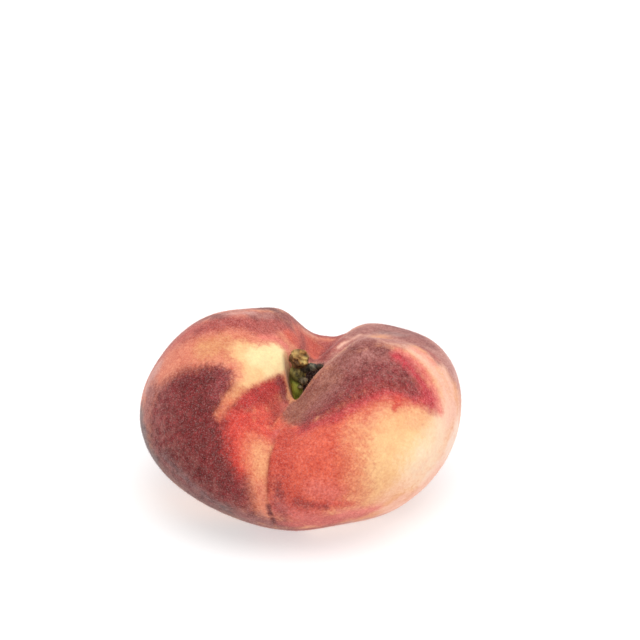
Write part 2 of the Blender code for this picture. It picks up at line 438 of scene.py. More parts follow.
# %% The front, on both sides of the suture
LEFT_OF_SUTURE = [
    ("red", 3.0, 2.4, 1.0, [(242, 420), (240, 448), (245, 464)]),
    ("coral", 2.4, 2.2, 0.9, [(264, 434), (254, 436), (248, 446)]),
    ("scarlet", 2.6, 2.0, 0.9, [(266, 398), (277, 404), (274, 424)]),
    ("red", 2.4, 1.8, 0.9, [(256, 404), (262, 414), (262, 426), (270, 434)]),
    ("raspberry", 0.9, 1.0, 0.8, [(286, 404), (280, 424), (274, 440)]),
    ("orange", 2.5, 2.0, 1.0, [(257, 446), (258, 475), (261, 505)]),
    ("peach", 1.4, 1.2, 0.9, [(259, 449), (262, 472)]),
    ("salmon", 1.3, 1.4, 0.8, [(262, 488), (267, 522)]),
    ("wine", 1.6, 2.0, 0.7, [(243, 486), (250, 514)]),
    ("mauve", 1.7, 1.6, 0.9, [(246, 523), (260, 528), (276, 533)]),
    ("mauve", 2.2, 1.8, 0.95, [(246, 516), (257, 519), (272, 524)]),
    ("scarlet", 2.0, 1.1, 1.0, [(280, 385), (268, 389), (256, 395), (246, 404)]),
    ("wine", 1.2, 1.0, 0.9, [(279, 381), (283, 388), (284, 396)]),
    ("rose", 0.8, 1.0, 0.6, [(287, 402), (284, 414)]),
]
RIGHT_OF_SUTURE = [
    ("butter", 12.0, 6.0, 1.0, [(408, 445), (390, 442)]),
    ("cream", 2.5, 5.0, 0.9, [(430, 446), (416, 454)]),
    ("coral", 8.0, 4.0, 1.0, [(288, 430), (290, 470), (300, 500)]),
    ("coral", 6.5, 4.0, 1.0, [(320, 438), (324, 470), (324, 490)]),
    ("orange", 2.6, 3.0, 0.6, [(352, 428), (354, 468), (354, 498)]),
    ("scarlet", 2.2, 3.2, 0.45, [(284, 436), (282, 480), (292, 502)]),
    ("blossom", 4.5, 4.5, 0.55, [(446, 420), (436, 450), (420, 468)]),
    ("shell", 2.6, 2.2, 0.5, [(464, 395), (462, 412), (458, 430)]),
    ("blossom", 2.6, 2.2, 0.9, [(462, 428), (456, 446), (444, 466)]),
    ("blossom", 1.6, 1.8, 0.6, [(456, 430), (446, 452), (434, 470), (427, 478)]),
    ("shell", 3.0, 2.4, 1.0, [(442, 474), (428, 488), (412, 499), (390, 510)]),
    ("raspberry", 2.6, 2.4, 1.0, [(280, 508), (296, 517), (328, 519), (360, 514)]),
    ("blush", 1.8, 1.8, 0.9, [(342, 515), (358, 512), (376, 508)]),
    ("shell", 1.8, 1.8, 0.85, [(386, 508), (394, 503), (402, 498)]),
    ("rose", 2.2, 1.8, 1.0, [(272, 522), (284, 524), (294, 526)]),
    ("raspberry", 2.2, 1.8, 1.0, [(298, 524), (318, 524), (336, 521)]),
    ("mauve", 2.2, 1.6, 0.95, [(270, 530), (282, 531), (294, 532)]),
    ("rose", 1.8, 1.6, 0.9, [(296, 532), (320, 530), (342, 525)]),
    ("lilac", 1.2, 1.4, 0.7, [(340, 526), (358, 522), (380, 515)]),
    ("red", 0.8, 1.1, 0.7, [(316, 505), (334, 504), (352, 503)]),
    ("wine", 1.2, 1.4, 0.65, [(278, 502), (283, 518)]),
    ("crimson", 0.8, 1.2, 0.7, [(299, 503), (309, 506), (326, 507)]),
    ("wine", 1.4, 1.4, 0.6, [(274, 526), (286, 527)]),
    ("blush", 1.0, 1.4, 0.4, [(302, 517), (318, 518)]),
    ("shell", 2.0, 2.2, 0.45, [(384, 500), (394, 490), (402, 486)]),
    ("wine", 1.0, 1.6, 0.8, [(276, 482), (279, 493)]),
    ("blush", 2.0, 1.8, 0.55, [(314, 489), (334, 493)]),
    ("shell", 2.0, 2.5, 0.3, [(438, 395), (424, 408), (416, 416)]),
    ("peach", 2.4, 2.6, 0.8, [(372, 422), (388, 414), (404, 412), (420, 414)]),
]
print(len(LEFT_OF_SUTURE) + len(RIGHT_OF_SUTURE), "strokes on the front")

# %% The grey cap, its red edges, and the right shoulder
CAP_EDGE = [(304, 430), (335, 415), (359, 402), (383, 391), (402, 391), (419, 396), (433, 405)]
CAP_MARGIN = [(306, 421), (320, 413), (335, 402), (356, 390), (378, 378), (396, 379), (412, 386)]
SHOULDER = [
    ("haze", 3.0, 2.0, 1.0, [(322, 362), (334, 350), (352, 341), (376, 338), (402, 342)]),
    ("haze", 4.6, 2.2, 1.0, [(338, 342), (352, 334), (375, 328), (405, 332), (430, 346), (448, 364)]),
    ("mauve", 2.0, 1.5, 0.8, [(392, 325), (412, 331), (428, 344)]),
    ("haze", 2.0, 2.0, 0.9, [(376, 331), (388, 334), (398, 337)]),
    ("shell", 1.5, 1.4, 0.9, [(434, 358), (445, 372), (452, 390), (455, 412)]),
    ("mauve", 1.0, 1.1, 0.65, [(404, 338), (420, 345), (431, 353), (438, 362)]),
    ("lilac", 1.8, 1.6, 0.9, [(448, 357), (457, 374), (462, 390)]),
    ("mauve", 2.4, 1.8, 0.5, [(360, 331), (376, 327), (392, 331), (414, 336)]),
    ("dusk", 1.4, 1.4, 0.35, [(380, 332), (390, 333), (400, 335)]),
]
CAP = [
    ("salmon", 1.8, 1.8, 0.6, [(366, 414), (384, 404), (402, 401)]),
    ("coral", 2.0, 1.8, 0.8, [(304, 438), (334, 422), (360, 409), (384, 396), (402, 394), (417, 398)]),
    ("cherry", 1.7, 1.6, 0.9, CAP_EDGE),
    ("mauve", 5.0, 1.8, 1.0, [(304, 406), (325, 391), (350, 371), (378, 361), (398, 369)]),
    ("mauve", 1.8, 1.5, 0.9, [(334, 362), (352, 347), (370, 343)]),
    ("wine", 2.6, 1.8, 0.9, [(354, 380), (378, 371), (398, 374)]),
    ("wine", 1.9, 1.5, 1.0, CAP_MARGIN),
    ("crimson", 1.1, 1.2, 0.6, [(306, 427), (337, 409), (360, 394), (384, 385), (404, 388)]),
    ("wine", 2.0, 1.6, 0.5, [(392, 362), (406, 372), (416, 384)]),
    ("haze", 0.8, 1.2, 0.7, [(320, 371), (332, 361), (342, 352)]),
    ("haze", 1.3, 1.8, 0.2, [(350, 360), (375, 356), (392, 356)]),
    ("ash", 2.2, 2.0, 0.9, [(299, 404), (292, 420)]),
    ("ash", 2.6, 2.4, 0.7, [(304, 400), (318, 392), (330, 378)]),
    ("shell", 1.8, 1.3, 0.8, [(414, 351), (422, 357), (432, 367), (441, 380), (448, 398), (450, 418)]),
    ("blush", 1.0, 1.0, 0.9, [(398, 351), (409, 357), (419, 366), (428, 378), (435, 392), (441, 411)]),
    ("blush", 1.0, 1.0, 0.5, [(416, 350), (426, 355), (434, 363)]),
    ("rose", 1.2, 1.2, 0.85, [(420, 347), (428, 351), (436, 358)]),
    ("cherry", 1.3, 1.1, 1.0, [(396, 356), (407, 364), (416, 375), (425, 388), (430, 399)]),
    ("red", 0.6, 0.8, 0.9, [(399, 398), (395, 408)]),
    # painted highlights: the down's gleam along the right lobe's front ridge and the ridge behind it
    ("shell", 0.4, 0.6, 0.6, [(328, 356), (335, 350), (347, 342), (360, 335)]),
    ("shell", 0.35, 0.6, 0.4, [(360, 335), (372, 336), (386, 343), (400, 345)]),
]
print(len(CAP) + len(SHOULDER), "strokes on the right lobe")

# %% The rim at the back, the wall behind the stem, and the pit
RIM = [
    ("coral", 2.6, 1.8, 1.0, [(300, 335), (312, 343), (320, 350)]),
    ("rose", 2.8, 1.8, 1.0, [(322, 342), (334, 347)]),
    ("coral", 2.2, 1.6, 1.0, [(292, 338), (300, 343), (311, 351), (320, 358)]),
    ("crimson", 1.2, 1.3, 0.65, [(303, 338), (303, 352)]),
    ("wine", 1.3, 1.5, 0.8, [(306, 357), (316, 361), (325, 358), (326, 352)]),
    # painted highlight on the ridge behind the cap
    ("shell", 0.7, 0.8, 1.0, [(339, 347), (344, 343)]),
    ("crimson", 1.0, 1.0, 0.5, [(320, 358), (326, 354), (328, 348)]),
    # painted highlights along the top edge of the rim behind the stem
    ("salmon", 0.9, 0.8, 0.9, [(299, 327), (305, 332), (314, 338), (332, 340)]),
    ("shell", 0.5, 0.6, 0.6, [(303, 330), (309, 333), (316, 337)]),
    ("maroon", 0.45, 0.5, 1.0, [(268.5, 506), (269.5, 510), (271, 515)]),
    ("maroon", 0.45, 0.4, 0.9, [(272.5, 519), (274, 523)]),
    # partly the wall's own yellow, partly painted light: paler than the wall, so that it stays light in the
    # pit's shade
    ("butter", 1.0, 0.7, 1.0, [(285.5, 356), (287, 366), (289, 382), (291.5, 393)]),
    ("shade", 1.6, 0.8, 1.0, [(304, 386), (308, 376), (318, 370)]),
]
print(len(RIM), "strokes on the rim")

# %% [markdown]
# ## The strokes on the sides that are not seen
# The photograph shows one side. The others are painted to match it: plum and maroon carried round from the
# left, a yellow shoulder at the back where leaves shaded it, a red cheek on the right, a paler base. These
# are guesses. Each stop is a way in degrees and a share of the walk down the skin.

# %% Hidden sides
HIDDEN = [
    ("honey", 12.0, 6.0, 1.0, [(-60, 0.90), (0, 0.86), (90, 0.88), (180, 0.88)]),
    ("butter", 6.0, 5.0, 0.8, [(0, 0.93), (120, 0.93), (240, 0.93)]),
    ("salmon", 12.0, 7.0, 1.0, [(60, 0.55), (110, 0.60), (150, 0.62)]),
    ("crimson", 9.0, 6.0, 0.9, [(178, 0.56), (158, 0.64), (165, 0.72)]),
    ("red", 8.0, 6.0, 0.8, [(135, 0.48), (120, 0.66)]),
    ("butter", 6.0, 5.0, 0.9, [(70, 0.62), (88, 0.70)]),
    ("scarlet", 6.0, 5.0, 0.8, [(25, 0.60), (40, 0.70)]),
    ("haze", 4.0, 2.5, 1.0, [(24, 0.52), (35, 0.50), (48, 0.47), (62, 0.45), (78, 0.43)]),
    ("rose", 3.5, 2.5, 1.0, [(85, 0.45), (96, 0.46), (108, 0.43)]),
    ("haze", 3.0, 2.5, 1.0, [(116, 0.41), (135, 0.42), (150, 0.42), (166, 0.45), (180, 0.51)]),
    ("lilac", 2.5, 2.5, 1.0, [(182, 0.53), (192, 0.58)]),
    ("smoke", 4.0, 2.5, 1.0, [(200, 0.62), (216, 0.68), (232, 0.72), (250, 0.76)]),
    ("rose", 3.5, 2.5, 1.0, [(254, 0.77), (270, 0.79), (286, 0.80), (296, 0.80)]),
    ("shell", 4.0, 2.5, 1.0, [(304, 0.80), (324, 0.80), (344, 0.78), (362, 0.70), (375, 0.61)]),
    ("leaf", 2.6, 2.6, 0.7, [(0, 0.02), (180, 0.06)]),
    ("shade", 2.0, 1.6, 0.9, [(-50, 0.16), (-10, 0.16), (30, 0.16)]),
]
print(len(HIDDEN), "strokes on the hidden sides")

# %% [markdown]
# ## Laying the paint
# The strokes are blended in the shader's own light values, one over the other. Two more layers are kept
# apart from the colour: how freckled the blush is, and how thick the down lies. The shader uses them to
# decide where red dots and grey haze show.

# %% Blending the strokes
FRECKLED = [
    (9.0, 6.0, 1.0, [(292, 450), (310, 490), (340, 480)]),
    (5.0, 5.0, 0.7, [(350, 430), (360, 500)]),
    (6.0, 5.0, 0.6, [(240, 430), (220, 460)]),
]
DOWNY = [
    (7.0, 5.0, 1.0, [(150, 400), (160, 450), (190, 490), (240, 520)]),
    (5.0, 3.0, 0.9, [(302, 410), (330, 385), (370, 360), (400, 372)]),
    (4.0, 3.0, 0.8, [(350, 328), (400, 330), (440, 356), (460, 400)]),
    (4.0, 3.0, 0.9, [(160, 352), (200, 320), (250, 310), (300, 324)]),
    (4.0, 4.0, 0.6, [(280, 512), (340, 515)]),
]
FIRST_COAT = "peach"
THINNEST_DOWN = 0.25
RAGGED = ((0.22, 0.45), (0.9, 0.40), (2.6, 0.45))
SIDE_SOFTNESS = 0.5
NOTCH_PIXEL = (291.7, 402.0)


def right_of_suture(points):
    """1 on the suture's right side, 0 on its left, with a narrow change on the line itself."""
    line = np.vstack([seen_place(NOTCH_PIXEL), suture_places]) - stem_axis
    order = np.argsort(line[:, 2])
    line_way = np.arctan2(line[:, 1], line[:, 0])[order]
    local = points - stem_axis
    way = np.interp(local[:, 2], line[order, 2], line_way)
    turn = turn_between(np.arctan2(local[:, 1], local[:, 0]), way)
    radius = np.hypot(local[:, 0], local[:, 1])
    return np.clip(0.5 + turn * radius / SIDE_SOFTNESS, 0, 1)


def lay_paint(points):
    """The colour, the freckles and the down at every point."""
    ragged = sum(height * noise_at(points, frequency, shift=1.0) for frequency, height in RAGGED)
    right = right_of_suture(points)
    colour = np.tile(linear(PALETTE[FIRST_COAT]), (len(points), 1))
    layers = [(HIDDEN, hidden_line, 1.0), (LEFT_LOBE + PLUM_PATCH, seen_line, 1.0)]
    layers += [(LEFT_OF_SUTURE, seen_line, 1.0 - right)]
    layers += [(RIGHT_OF_SUTURE + SHOULDER + CAP, seen_line, right), (RIM, seen_line, 1.0)]
    for strokes, placed, side in layers:
        for paint, radius, softness, strength, stops in strokes:
            cover = strength * side * brush(points, placed(stops), radius, softness, ragged)
            colour += (linear(PALETTE[paint]) - colour) * cover[:, None]
    freckles = np.zeros(len(points))
    down = np.full(len(points), THINNEST_DOWN)
    for layer, strokes in ((freckles, FRECKLED), (down, DOWNY)):
        for radius, softness, strength, stops in strokes:
            cover = strength * brush(points, seen_line(stops), radius, softness, ragged)
            np.maximum(layer, cover, out=layer)
    return colour, freckles, down


skin_colour, skin_freckles, skin_down = lay_paint(fine_mm)
print("mean colour of the skin:", skin_colour.mean(axis=0).round(3))

# %% [markdown]
# ## The skin's mesh
# The corners go to their final places and carry paint, freckles, down and crease as attributes, which
# the shader reads. Attributes suit a round fruit well: there is no seam and no unwrapping, and the paint
# moves with the mesh.

# %% The fruit as a piece
def add_attribute(mesh, name, kind, values):
    """Store one value or colour for each corner."""
    layer = mesh.attributes.new(name, kind, "POINT")
    field = "color" if kind == "FLOAT_COLOR" else "value"
    layer.data.foreach_set(field, np.asarray(values, dtype=np.float32).ravel())


def add_piece(name, mesh, look, node=None):
    """Put a mesh in the scene as a piece of the part."""
    mesh.materials.append(look)
    mesh.shade_smooth()
    piece = bpy.data.objects.new(name, mesh)
    bpy.context.scene.collection.objects.link(piece)
    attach(piece, "root")
    if node:
        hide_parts(node)
    return piece


def finish_skin_mesh(mesh):
    """Move the corners to their final places and add the layers."""
    mesh.vertices.foreach_set("co", (fine_mm * MM).ravel())
    solid = np.ones((len(fine_mm), 1))
    add_attribute(mesh, "paint", "FLOAT_COLOR", np.hstack([skin_colour, solid]))
    add_attribute(mesh, "freckles", "FLOAT", skin_freckles)
    add_attribute(mesh, "down", "FLOAT", skin_down)
    add_attribute(mesh, "crease", "FLOAT", skin_crease)
    mesh.update()


finish_skin_mesh(skin_mesh)
print("faces on the skin:", len(skin_mesh.polygons))

# %% [markdown]
# ## The skin's material
# Close to, peach skin is a ground colour broken up by tiny things: dots of darker red where it blushes,
# pale specks where the down catches the light, and a soft mottling between them. Noise textures in the
# fruit's own space make them at their real size, a few tenths of a millimetre. A painted image would need
# unwrapping and would blur close to. The soft gleam of the down is the shader's sheen.

# %% Small helpers for shader nodes
def new_look(name):
    """A material with an empty Principled shader, its tree and the shader."""
    look = bpy.data.materials.new(name)
    look.use_nodes = True
    tree = look.node_tree
    return look, tree, tree.nodes["Principled BSDF"]


def add_node(tree, kind, settings=(), values=()):
    """A node with its settings and its unlinked values."""
    made = tree.nodes.new("ShaderNode" + kind)
    for key, value in dict(settings).items():
        setattr(made, key, value)
    for key, value in dict(values).items():
        made.inputs[key].default_value = value
    return made


def stored(tree, name, colour=False):
    """A layer that the mesh carries, as a socket."""
    layer = add_node(tree, "Attribute", {"attribute_name": name})
    return layer.outputs["Color" if colour else "Fac"]


def spread(tree, value, levels, ends=(0.0, 1.0)):
    """A socket's values between two levels, spread between two ends."""
    keys = ("From Min", "From Max", "To Min", "To Max")
    made = add_node(tree, "MapRange", values=zip(keys, (*levels, *ends)))
    tree.links.new(value, made.inputs["Value"])
    return made.outputs["Result"]


def speckle(tree, scale, levels, detail=2.0, stretch=None):
    """Noise at a scale, in grains per metre, spread over 0 to 1 between two levels."""
    place = add_node(tree, "TexCoord").outputs["Object"]
    if stretch:
        mapping = add_node(tree, "Mapping", values={"Scale": stretch})
        tree.links.new(place, mapping.inputs["Vector"])
        place = mapping.outputs["Vector"]
    grain = add_node(tree, "TexNoise", values={"Scale": scale, "Detail": detail, "Roughness": 0.6})
    tree.links.new(place, grain.inputs["Vector"])
    return spread(tree, grain.outputs["Fac"], levels)


def product(tree, first, second):
    """Two sockets or numbers multiplied, kept between 0 and 1."""
    made = add_node(tree, "Math", {"operation": "MULTIPLY", "use_clamp": True})
    for socket, value in zip(made.inputs, (first, second)):
        if isinstance(value, (int, float)):
            socket.default_value = value
        else:
            tree.links.new(value, socket)
    return made.outputs["Value"]


def layer_over(tree, under, over, cover, blend="MIX"):
    """One colour laid over another, as strongly as cover says."""
    made = add_node(tree, "Mix", {"data_type": "RGBA", "blend_type": blend})
    for socket, value in ((made.inputs[0], cover), (made.inputs[6], under), (made.inputs[7], over)):
        if isinstance(value, (int, float, tuple)):
            socket.default_value = value
        else:
            tree.links.new(value, socket)
    return made.outputs[2]


def texture_cover(tree, texture, layer, detail=2.0):
    """How strongly a texture shows: its grains, where a layer lets them, at its own strength."""
    scale, levels, strength = texture
    return product(tree, product(tree, speckle(tree, scale, levels, detail), layer), strength)


def paint_value(name):
    """A palette colour as a shader value."""
    return (*linear(PALETTE[name]), 1.0)


print("helpers are ready")

# %% The look of the skin
# Each texture has its grains per metre, the levels of noise that it spreads, and its strength
BLOTCHES = (340.0, (0.36, 0.64), 0.30)
MOTTLING = (1000.0, (0.34, 0.66), 0.44)
GRAIN = (2300.0, (0.34, 0.66), 0.58)
RED_DOTS = (1700.0, (0.50, 0.62), 0.55)
HAZE_CLOUDS = (700.0, (0.40, 0.68), 0.26)
CLOUD_DETAIL = 4.0
PALE_SPECKS = (3400.0, (0.52, 0.70), 0.16)
PORES = (3200.0, (0.3, 0.7))

# Grain shows most in red paint, which has little green, and least in yellow
GREEN_LEVELS = (0.08, 0.60)
GRAIN_STRENGTH = (1.0, 0.15)

# What the grain's light and dark ends do to dark paint, and to paint that is bright in red
RED_LEVELS = (0.30, 0.80)
GRAIN_LIGHT = ((1.20, 1.40, 1.40, 1.0), (0.95, 1.22, 1.22, 1.0))
GRAIN_DARK = ((0.28, 0.04, 0.04, 1.0), (0.54, 0.22, 0.22, 1.0))

DOT_SHADE = (0.74, 0.46, 0.46, 1.0)
SPECK_SHADE = (0.78, 0.62, 0.58, 1.0)
CREASE_SHADE = (0.46, 0.26, 0.26, 1.0)
CREASE_STRENGTH = 0.85
SKIN_ROUGHNESS = (0.56, 0.74)


def make_skin_look():
    """Paint, broken up by blotches, mottling, grain, red dots and pale specks, with painted shade in the
    crease, on a soft skin.
    """
    look, tree, shader = new_look("downy_skin")
    paint = stored(tree, "paint", colour=True)
    channels = add_node(tree, "SeparateColor")
    tree.links.new(paint, channels.inputs["Color"])
    blush = spread(tree, channels.outputs["Green"], GREEN_LEVELS, GRAIN_STRENGTH)
    bright = spread(tree, channels.outputs["Red"], RED_LEVELS)
    light, dark = (layer_over(tree, *ends, bright) for ends in (GRAIN_LIGHT, GRAIN_DARK))

    colour = paint
    for scale, levels, strength in (BLOTCHES, MOTTLING, GRAIN):
        grain = speckle(tree, scale, levels)
        shade = layer_over(tree, light, dark, grain)
        colour = layer_over(tree, colour, shade, product(tree, blush, strength), "MULTIPLY")
    dots = texture_cover(tree, RED_DOTS, stored(tree, "freckles"))
    colour = layer_over(tree, colour, DOT_SHADE, dots, "MULTIPLY")
    haze = texture_cover(tree, HAZE_CLOUDS, stored(tree, "down"), CLOUD_DETAIL)
    colour = layer_over(tree, colour, paint_value("haze"), haze)
    colour = layer_over(tree, colour, SPECK_SHADE, texture_cover(tree, PALE_SPECKS, blush))
    # painted shade: the crease is darkened in the colour as well as cut into the skin
    crease = product(tree, stored(tree, "crease"), CREASE_STRENGTH)
    colour = layer_over(tree, colour, CREASE_SHADE, crease, "MULTIPLY")
    tree.links.new(colour, shader.inputs["Base Color"])

    rough = spread(tree, grain, (0.0, 1.0), SKIN_ROUGHNESS)
    tree.links.new(rough, shader.inputs["Roughness"])
    relief = add_node(tree, "Bump", values={"Strength": 0.35, "Distance": 0.00012})
    tree.links.new(speckle(tree, *PORES), relief.inputs["Height"])
    tree.links.new(relief.outputs["Normal"], shader.inputs["Normal"])
    shader.inputs["Specular IOR Level"].default_value = 0.14
    shader.inputs["Sheen Weight"].default_value = 0.14
    shader.inputs["Sheen Roughness"].default_value = 0.45
    shader.inputs["Sheen Tint"].default_value = (1.0, 0.86, 0.84, 1.0)
    return look


fruit_skin = add_piece("fruit_skin", skin_mesh, make_skin_look(), "fruit")
print("the skin replaces the CAD fruit:", len(skin_mesh.polygons), "faces")

# %% [markdown]
# ## The down
# Peach skin is covered in short pale hairs. They are too fine to be seen one by one, but they blur the
# outline into a light rim and veil the colour below. A hair system would look the same and be lost in an
# export, so every hair is a real blade: one narrow triangle, its foot in the skin, leaning its own way.
# A seeded draw spreads them evenly over the area, so the same fruit grows each time.

# %% Growing the down
HAIRS = 190000
HAIR_LENGTH = (0.18, 0.42)
HAIR_WIDTH = 0.018
HAIR_LEAN = 0.75
HAIR_ROOT = 0.03
HAIR_SEED = 11
HAIR_PALE = (0.80, 0.66, 0.62, 1.0)
HAIR_PALEST = (0.90, 0.82, 0.78, 1.0)
HAIR_PALENESS = 0.28
PALE_TUFTS = (1500.0, (0.3, 0.7), 0.3)
draw = np.random.default_rng(HAIR_SEED)


def corner_values(mesh, name, field, width):
    """Values that a mesh holds for its corners, as an array."""
    values = np.zeros(len(mesh.vertices) * width, dtype=np.float32)
    mesh.attributes[name].data.foreach_get(field, values)
    return values.reshape(-1, width)


def grow_down(mesh, count):
    """A mesh of hair blades spread evenly over the skin."""
    mesh.calc_loop_triangles()
    triangles = np.zeros(len(mesh.loop_triangles) * 3, dtype=np.int32)
    mesh.loop_triangles.foreach_get("vertices", triangles)
    triangles = triangles.reshape(-1, 3)
    normals = np.zeros(len(mesh.vertices) * 3, dtype=np.float32)
    mesh.vertex_normals.foreach_get("vector", normals)
    normals = normals.reshape(-1, 3)
    first, second, third = (fine_mm[triangles[:, index]] for index in range(3))
    area = np.linalg.norm(np.cross(second - first, third - first), axis=1)
    picked = draw.choice(len(triangles), count, p=area / area.sum())
    mix = draw.dirichlet((1.0, 1.0, 1.0), count)
    root = np.einsum("ij,ijk->ik", mix, fine_mm[triangles[picked]])
    outward = np.einsum("ij,ijk->ik", mix, normals[triangles[picked]])
    outward /= np.linalg.norm(outward, axis=1)[:, None]
    tilt = draw.normal(size=(count, 3)) * HAIR_LEAN
    growth = outward + tilt - outward * np.sum(tilt * outward, axis=1)[:, None]
    growth /= np.linalg.norm(growth, axis=1)[:, None]
    length = draw.uniform(*HAIR_LENGTH, count)[:, None]
    broad = np.cross(growth, draw.normal(size=(count, 3)))
    broad *= HAIR_WIDTH / 2 / np.linalg.norm(broad, axis=1)[:, None]
    foot = root - outward * HAIR_ROOT
    corners = np.stack([foot - broad, foot + broad, root + growth * length], axis=1).reshape(-1, 3)
    corners[:, 2] = np.maximum(corners[:, 2], 0.0)
    made = bpy.data.meshes.new("down")
    made.from_pydata((corners * MM).tolist(), [], np.arange(count * 3).reshape(-1, 3).tolist())
    below = corner_values(mesh, "paint", "color", 4)[triangles[picked, 0]]
    add_attribute(made, "paint", "FLOAT_COLOR", np.repeat(below, 3, axis=0))
    return made


def make_down_look():
    """Pale hairs that take on the colour below them."""
    look, tree, shader = new_look("down_hair")
    colour = layer_over(tree, stored(tree, "paint", colour=True), HAIR_PALE, HAIR_PALENESS)
    colour = layer_over(tree, colour, HAIR_PALEST, texture_cover(tree, PALE_TUFTS, 1.0))
    tree.links.new(colour, shader.inputs["Base Color"])
    shader.inputs["Roughness"].default_value = 0.6
    shader.inputs["Specular IOR Level"].default_value = 0.2
    return look


down_piece = add_piece("skin_down", grow_down(skin_mesh, HAIRS), make_down_look())
print("hairs:", len(down_piece.data.polygons))

# %% [markdown]
# ## The stem
# What is left of the stalk is a knobbly stub: a green foot, an olive block, a brown cut end, and a short
# spur with a bud. The CAD model has it as overlapping lumps, and the same lumps are repeated here. Voxel
# remeshing melts them into one skin, and noise then pushes out bark ridges. Carving it from one block
# would take more steps, and it would lose the lumps' names, which the colours use below.

# %% The stem's lumps, as in the CAD model
STALK_FOOT = (-0.45, -0.1, 24.7)
STALK_TOP = (-1.0, -0.2, 31.5)
STALK_FOOT_RADIUS = 0.9
STALK_TOP_RADIUS = 1.6
STEM_LUMPS = {
    "node_block": ((-0.7, -0.1, 31.8), (1.85, 1.8, 2.4), 0.0),
    "cut_end": ((-0.3, -0.2, 35.7), (2.2, 2.1, 2.1), 12.0),
    "spur_root": ((1.2, 0.0, 33.7), (1.6, 1.1, 1.1), 0.0),
    "spur_bud": ((2.6, 0.1, 33.9), (1.2, 1.1, 0.95), 8.0),
    "spur_tip": ((4.0, 0.4, 34.1), (1.3, 0.6, 0.5), -10.0),
    "bud_scale": ((0.9, -1.4, 30.9), (1.0, 0.8, 0.85), 0.0),
    "leaf_scar": ((0.3, -1.3, 29.4), (0.65, 0.5, 0.55), 0.0),
}
# Each part's colour at its darkest and lightest tone; the tone between follows the relief, partly the wood's
# own colour and partly painted light and shade
STEM_COLOURS = {
    "stalk": ((92, 120, 34), (206, 214, 96)), "node_block": ((58, 46, 26), (158, 144, 82)),
    "cut_end": ((84, 48, 22), (190, 138, 76)), "spur_root": ((26, 22, 16), (84, 74, 54)),
    "spur_bud": ((64, 64, 54), (162, 160, 138)), "spur_tip": ((30, 20, 14), (98, 76, 58)),
    "bud_scale": ((60, 50, 36), (166, 150, 118)), "leaf_scar": ((120, 100, 74), (222, 200, 164)),
}
STALK_SIDES = 32
LUMP_DETAIL = 4
STEM_VOXEL = 0.11
SOFTENING = 3


def lump_form(centre, half_sizes, tilt):
    """The matrix that turns a unit ball into a lump, in millimetres."""
    turned = Matrix.Translation(Vector(centre)) @ Matrix.Rotation(math.radians(tilt), 4, "Y")
    return turned @ Matrix.Diagonal((*half_sizes, 1.0))


def stem_blank():
    """Lumps and stalk melted into one closed mesh, in millimetres from the stem's axis."""
    blank = bmesh.new()
    for lump in STEM_LUMPS.values():
        bmesh.ops.create_icosphere(blank, subdivisions=LUMP_DETAIL, radius=1.0, matrix=lump_form(*lump))
    foot, top = Vector(STALK_FOOT), Vector(STALK_TOP)
    upright = Vector((0.0, 0.0, 1.0)).rotation_difference(top - foot).to_matrix().to_4x4()
    bmesh.ops.create_cone(blank, cap_ends=True, segments=STALK_SIDES, radius1=STALK_FOOT_RADIUS,
                          radius2=STALK_TOP_RADIUS, depth=(top - foot).length,
                          matrix=Matrix.Translation((foot + top) / 2) @ upright)
    mesh = bpy.data.meshes.new("stem_blank")
    blank.to_mesh(mesh)
    blank.free()
    thing = bpy.data.objects.new("stem_blank", mesh)
    bpy.context.scene.collection.objects.link(thing)
    remesh = thing.modifiers.new("melt", "REMESH")
    remesh.mode = "VOXEL"
    remesh.voxel_size = STEM_VOXEL
    smooth = thing.modifiers.new("soften", "SMOOTH")
    smooth.iterations = SOFTENING
    melted = bpy.data.meshes.new_from_object(thing.evaluated_get(bpy.context.evaluated_depsgraph_get()))
    bpy.data.objects.remove(thing, do_unlink=True)
    return melted


stem_mesh = stem_blank()
print("corners on the stem:", len(stem_mesh.vertices))

# %% [markdown]
# ## Bark, and which lump a corner belongs to
# Torn wood is lumpy and ridged, so noise pushes the corners in and out: a coarse one for lumps, a finer one
# for bark, and a bent wave for the torn fibres of the cut end. Each corner takes the colour of the lump
# whose surface is nearest, lighter where it stands out and darker where it lies back, partly the wood's own
# colour and partly painted light and shade, and darker still with painted shade where two lumps meet.

# %% Ridges and colours of the stem
MELT = 0.15
LUMP_RELIEF = 0.34
LUMP_NOISE = 0.75
BARK_RELIEF = 0.16
BARK_NOISE = 1.9
BARK_STRETCH = (1.0, 1.0, 0.45)
FINE_BARK = 0.5
FINE_BARK_NOISE = 4.5
TEAR_RELIEF = 0.13
TEAR_SPACING = 0.85
TEAR_ACROSS = (0.45, 0.10, 0.88)
TEAR_BENDS = (3.0, 1.5)
TEAR_START = 33.9
STALK_SMOOTHNESS = 0.7

# How light the wood is at its middle tone, and how much bark, tears and lumps add to that. They also raise
# the relief, so the tone is partly the wood's own colour and partly painted light and shade.
MIDDLE_TONE = 0.42
BARK_TONE = 0.70
TEAR_TONE = 0.15
LUMP_TONE = 0.25
# Painted shade where two lumps meet: how strongly it darkens, and the darkest it gets
SEAM_SHADE = 1.5
DARKEST_SEAM = 0.2

SPOT_STRENGTH = 0.9

# Patches of another colour, among them painted light and shade: middle and reach in millimetres, and paint
STEM_SPOTS = (
    # painted shade on the cut end's left side and underside
    ((-1.8, -1.3, 35.6), (1.0, 1.2, 1.1), (84, 50, 22)),
    ((-0.1, -1.8, 34.7), (1.8, 1.2, 0.8), (50, 30, 16)),
    # painted highlight on the cut end's right side
    ((1.4, -1.5, 36.0), (0.8, 0.9, 0.8), (252, 228, 144)),
    ((-1.0, -1.0, 37.3), (1.0, 1.0, 0.5), (228, 192, 122)),
    # painted light on the block's left edge, a paler olive
    ((-2.3, -0.9, 32.0), (0.7, 1.2, 1.6), (206, 204, 118)),
    ((-1.4, -1.5, 30.7), (0.8, 1.0, 0.8), (122, 142, 56)),
    ((-0.9, -1.2, 29.2), (0.8, 1.1, 1.3), (206, 226, 100)),
)


